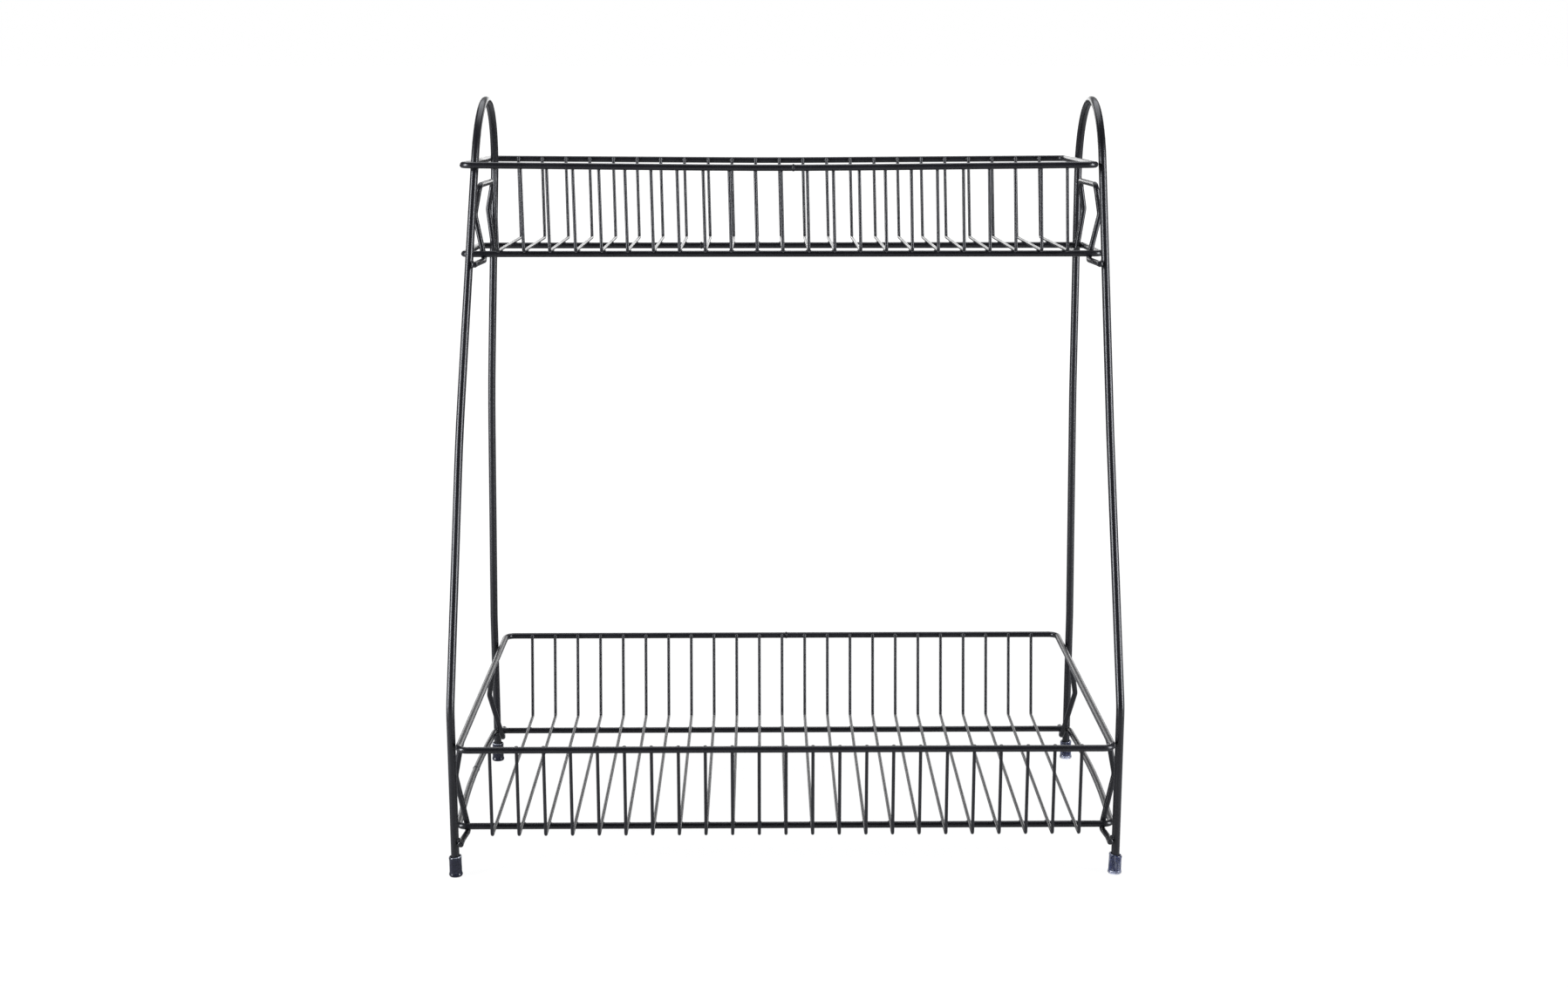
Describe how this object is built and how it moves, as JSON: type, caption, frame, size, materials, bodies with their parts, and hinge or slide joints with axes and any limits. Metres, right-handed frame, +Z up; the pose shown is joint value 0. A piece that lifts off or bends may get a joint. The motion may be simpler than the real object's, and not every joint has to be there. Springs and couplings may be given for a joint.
{
  "type": "tiered wire basket",
  "caption": "Free-standing rack of black wire with a shallow basket above a deeper one, held between side frames with round tops and capped feet.",
  "frame": {"origin": "on the floor, in the middle of the whole rack's length and depth", "axes": "+X along the baskets to the right, +Y to the back, +Z up"},
  "size_m": [0.409, 0.2568, 0.46],
  "materials": {
    "black_steel": "satin black powder coat",
    "vinyl": "smoky soft vinyl"
  },
  "bodies": {
    "root": {"left_side_frame": "black_steel", "left_front_foot_cap": "vinyl", "left_back_foot_cap": "vinyl", "left_lower_bracket": "black_steel", "left_upper_bracket": "black_steel", "right_side_frame": "black_steel", "right_front_foot_cap": "vinyl", "right_back_foot_cap": "vinyl", "right_lower_bracket": "black_steel", "right_upper_bracket": "black_steel", "lower_top_rim": "black_steel", "lower_bottom_rim": "black_steel", "lower_cross_wire_01": "black_steel", "lower_cross_wire_02": "black_steel", "lower_cross_wire_03": "black_steel", "lower_cross_wire_04": "black_steel", "lower_cross_wire_05": "black_steel", "lower_cross_wire_06": "black_steel", "lower_cross_wire_07": "black_steel", "lower_cross_wire_08": "black_steel", "lower_cross_wire_09": "black_steel", "lower_cross_wire_10": "black_steel", "lower_cross_wire_11": "black_steel", "lower_cross_wire_12": "black_steel", "lower_cross_wire_13": "black_steel", "lower_cross_wire_14": "black_steel", "lower_cross_wire_15": "black_steel", "lower_cross_wire_16": "black_steel", "lower_cross_wire_17": "black_steel", "lower_cross_wire_18": "black_steel", "lower_cross_wire_19": "black_steel", "lower_cross_wire_20": "black_steel", "lower_cross_wire_21": "black_steel", "lower_cross_wire_22": "black_steel", "lower_cross_wire_23": "black_steel", "upper_top_rim": "black_steel", "upper_bottom_rim": "black_steel", "upper_cross_wire_01": "black_steel", "upper_cross_wire_02": "black_steel", "upper_cross_wire_03": "black_steel", "upper_cross_wire_04": "black_steel", "upper_cross_wire_05": "black_steel", "upper_cross_wire_06": "black_steel", "upper_cross_wire_07": "black_steel", "upper_cross_wire_08": "black_steel", "upper_cross_wire_09": "black_steel", "upper_cross_wire_10": "black_steel", "upper_cross_wire_11": "black_steel", "upper_cross_wire_12": "black_steel", "upper_cross_wire_13": "black_steel", "upper_cross_wire_14": "black_steel", "upper_cross_wire_15": "black_steel", "upper_cross_wire_16": "black_steel", "upper_cross_wire_17": "black_steel", "upper_cross_wire_18": "black_steel", "upper_cross_wire_19": "black_steel", "upper_cross_wire_20": "black_steel", "upper_cross_wire_21": "black_steel", "upper_cross_wire_22": "black_steel", "upper_cross_wire_23": "black_steel"}
  },
  "joints": []
}
